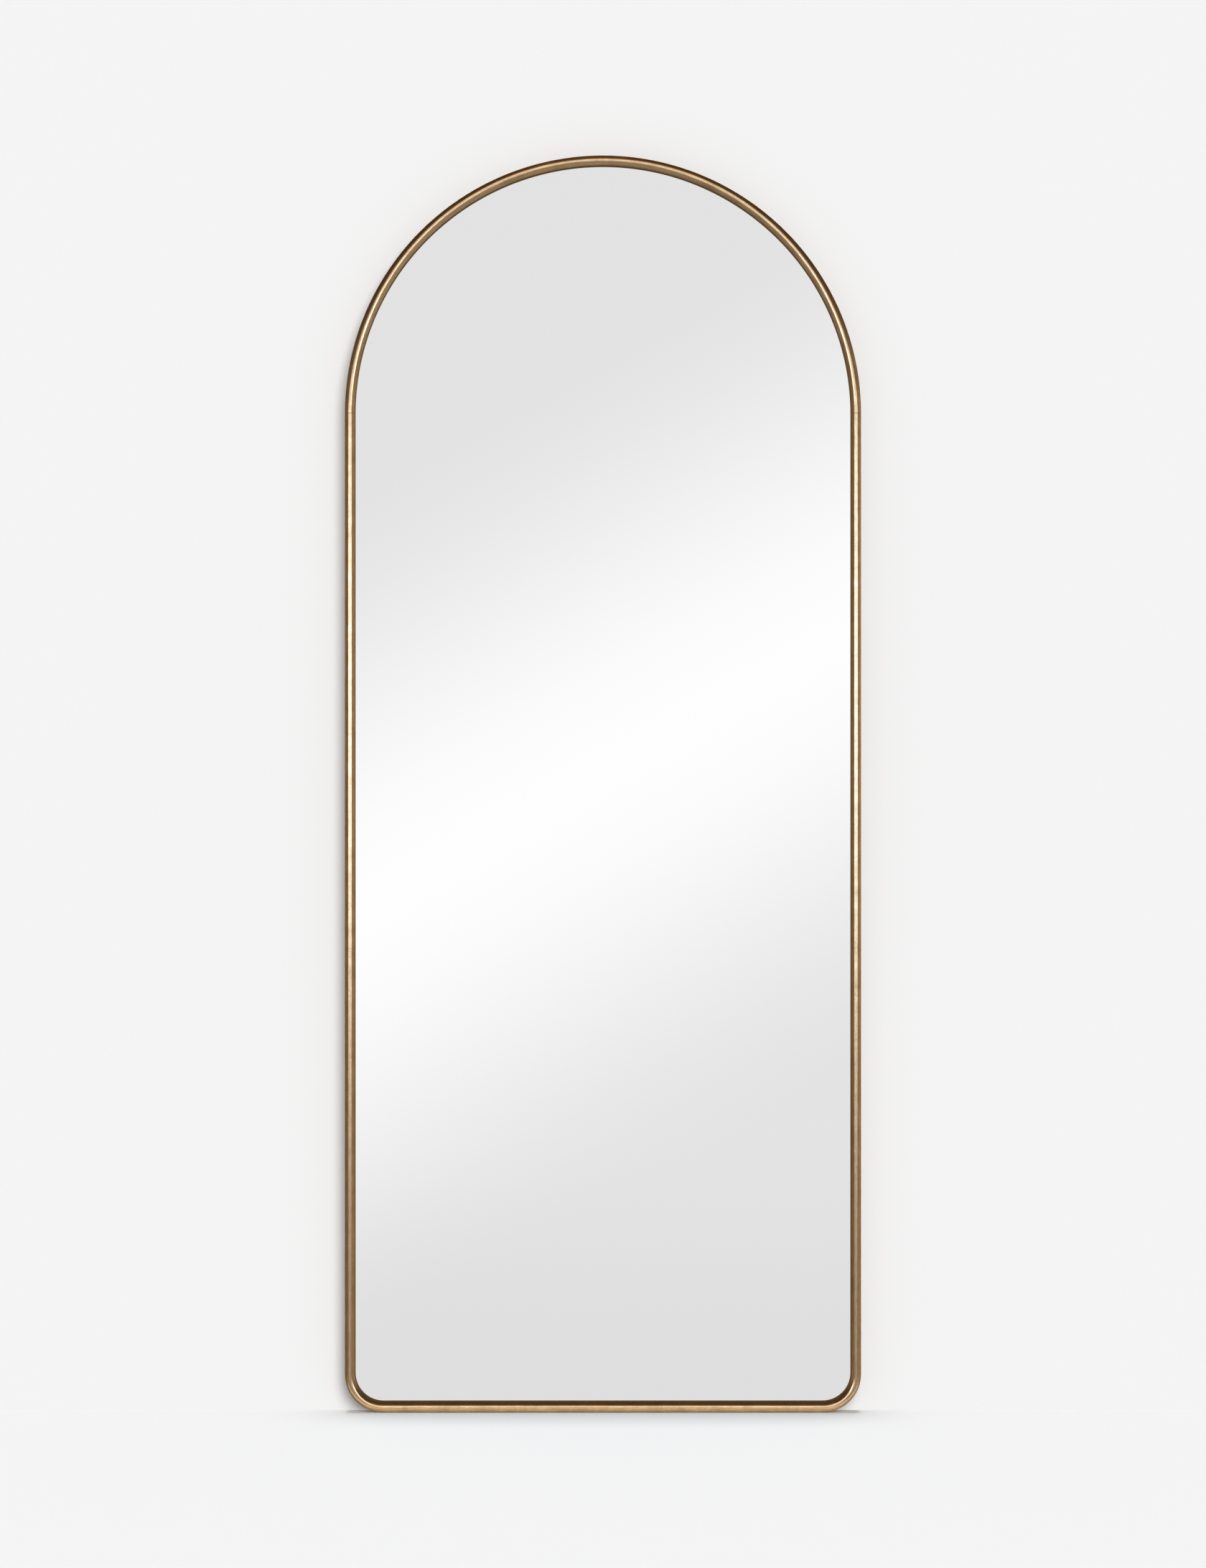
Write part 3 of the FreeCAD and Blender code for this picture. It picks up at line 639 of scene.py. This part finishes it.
ahead = by_height((-1.0, 0.46, WHITE), (-0.8, 0.43, WHITE), (-0.5, 0.38, WHITE), (-0.28, 0.42, WHITE),
                  (-0.13, 0.80, WHITE), (-0.105, 0.80, WHITE), (-0.075, 0.84, WHITE), (-0.03, 0.835, WHITE),
                  (0.125, 0.83, WHITE), (0.18, 2.1, WHITE), (0.34, 1.6, WHITE), (0.5, 0.85, WHITE),
                  (0.7, 0.30, WARM), (0.87, 0.12, WARM))
print("room levels: right, left, aslant and ahead")

# %% The sides of the room
MIDDLE = 0.3                            # left turns to right between this far to each side
SIDE_AT, SLANT_AT = -0.35, -0.75        # how far to the front the sides end, and the slant holds alone

rays = add(sky, "LightPath").outputs
second = add(sky, "Math", {0: rays["Glossy Depth"], 1: AFTER_FIRST}, operation="GREATER_THAN").outputs[0]
to_right = add(sky, "MapRange", {"Value": room_x, "From Min": -MIDDLE,
                                 "From Max": MIDDLE}).outputs["Result"]
sides = add(sky, "Mix", {0: to_right, 6: left, 7: right}, data_type="RGBA").outputs[2]
slanting = add(sky, "MapRange", {"Value": room_y, "From Min": SIDE_AT,
                                 "From Max": SLANT_AT}).outputs["Result"]
slanting = add(sky, "Math", {0: slanting, 1: second}, operation="SUBTRACT", use_clamp=True).outputs[0]
sides = add(sky, "Mix", {0: slanting, 6: sides, 7: aslant}, data_type="RGBA").outputs[2]
print("the sides turn to the slant from y", SIDE_AT, "to", SLANT_AT)

# %% [markdown]
# ## What the glass shows
# From the front the glass shows a soft bright band that climbs to the right. It lies in the part of the
# room that the camera sees by way of the glass. That part is narrow, and the front of the room ends just
# outside it, so that the sides of the tube still see the dimmer sides of the room.

# %% A bright band in the glass
BAND_SLOPE = 0.56                       # how far it climbs for each step to the right
BAND_HEIGHT = 0.0025                    # of its middle, in the direction's own height of -1 to 1
BAND_REACH = 0.088                      # from its middle to where it is gone
BAND_LIFT = 0.24                        # what it adds to the light

level = add(sky, "Math", {0: room_x, 1: -BAND_SLOPE, 2: room_z}, operation="MULTIPLY_ADD").outputs[0]
above_band = add(sky, "Math", {0: level, 1: -BAND_HEIGHT}, operation="ADD").outputs[0]
from_band = add(sky, "Math", {0: above_band}, operation="ABSOLUTE").outputs[0]
band = add(sky, "MapRange", {"Value": from_band, "From Min": BAND_REACH, "From Max": 0.0,
                             "To Max": BAND_LIFT}, interpolation_type="SMOOTHSTEP").outputs["Result"]
ahead = add(sky, "Mix", {0: 1.0, 6: ahead, 7: band}, data_type="RGBA", blend_type="ADD").outputs[2]
print("band lifts the glass by", BAND_LIFT)

# %% Where the front of the room ends
FADES_FROM, FADES_TO = 0.06, 0.12       # to each side of the middle, where the front fades and is gone
WIDENS_FROM, WIDENS_TO = 0.12, 0.35     # above and below the level, where it grows wider
WIDER_BY = 0.16                         # to each side

from_level = add(sky, "Math", {0: room_z}, operation="ABSOLUTE").outputs[0]
spread = add(sky, "MapRange", {"Value": from_level, "From Min": WIDENS_FROM, "From Max": WIDENS_TO,
                               "To Max": WIDER_BY}).outputs["Result"]
from_middle = add(sky, "Math", {0: room_x}, operation="ABSOLUTE").outputs[0]
off_middle = add(sky, "Math", {0: from_middle, 1: spread}, operation="SUBTRACT").outputs[0]
aside = add(sky, "MapRange", {"Value": off_middle, "From Min": FADES_FROM, "From Max": FADES_TO},
            interpolation_type="SMOOTHSTEP").outputs["Result"]
# a second reflection sees only the sides, so that no glare is trapped between the tube and the glass
aside = add(sky, "Math", {0: aside, 1: second}, operation="MAXIMUM").outputs[0]
front_room = add(sky, "Mix", {0: aside, 6: ahead, 7: sides}, data_type="RGBA").outputs[2]
print("front of the room: up to", FADES_TO, "off the middle,", FADES_TO + WIDER_BY, "high up and low down")

# %% [markdown]
# ## Even light for dull surfaces
# Paper, board and rubber take the sum of a whole room, and the bright band would tint and streak them.
# They get one even level from the front instead, and more from behind, mostly from below, so that the
# black back shows its shape. The camera itself sees the paper's colour wherever the paper ends.

# %% Even light
# greys, as red, green, blue and alpha
FRONT_LIGHT = [0.38] * 3 + [1]
REAR_BELOW = [1.5] * 3 + [1]
REAR_ABOVE = [0.5] * 3 + [1]
BLEND = 0.1                             # half the width of each change from one to another
BEFORE_FIRST = 0.5                      # half way between no bounce and one

behind = add(sky, "MapRange", {"Value": room_y, "From Min": -BLEND, "From Max": BLEND}).outputs["Result"]
direct = add(sky, "Math", {0: rays["Glossy Depth"], 1: BEFORE_FIRST}, operation="LESS_THAN").outputs[0]
behind = add(sky, "Math", {0: behind, 1: direct}, operation="MULTIPLY").outputs[0]
above = add(sky, "MapRange", {"Value": room_z, "From Min": -BLEND, "From Max": BLEND}).outputs["Result"]
rear_light = add(sky, "Mix", {0: above, 6: REAR_BELOW, 7: REAR_ABOVE}, data_type="RGBA").outputs[2]
even_light = add(sky, "Mix", {0: behind, 6: FRONT_LIGHT, 7: rear_light}, data_type="RGBA").outputs[2]
dull = add(sky, "Math", {0: rays["Diffuse Depth"], 1: 1.0}, operation="MINIMUM").outputs[0]
filled = add(sky, "Mix", {0: dull, 6: front_room, 7: even_light}, data_type="RGBA").outputs[2]
seen = add(sky, "Mix", {0: rays["Is Camera Ray"], 6: filled, 7: linear(BACKGROUND)},
           data_type="RGBA").outputs[2]
light = add(sky, "Background", {"Color": seen}).outputs[0]
add(sky, "OutputWorld", {"Surface": light})
print("room:", len(sky.nodes), "nodes")

# %% [markdown]
# ## The camera
# The photograph is taken square on, from far enough away that the arch shows no thickness. An orthographic
# camera would show none either, but then the glass would show one single direction, and no band in it.

# %% Camera
VIEW_DISTANCE = 8.0                     # metres from the tube
VIEW_HEIGHT = 2.4712                    # metres that the picture takes in at the tube
VIEW_CENTRE = 0.9904                    # metres above the floor
SENSOR = 36.0                           # mm, along the picture's longer side

camera_data = bpy.data.cameras.new("camera")
camera_data.sensor_width = SENSOR
camera_data.lens = SENSOR * VIEW_DISTANCE / VIEW_HEIGHT
camera = bpy.data.objects.new("camera", camera_data)
camera.location = (0, tube_y - VIEW_DISTANCE, VIEW_CENTRE)
camera.rotation_euler = (math.pi / 2, 0, 0)
bpy.context.scene.collection.objects.link(camera)
bpy.context.scene.camera = camera
bpy.context.scene.view_settings.view_transform = "Standard"
print("lens", round(camera_data.lens, 1), "mm")
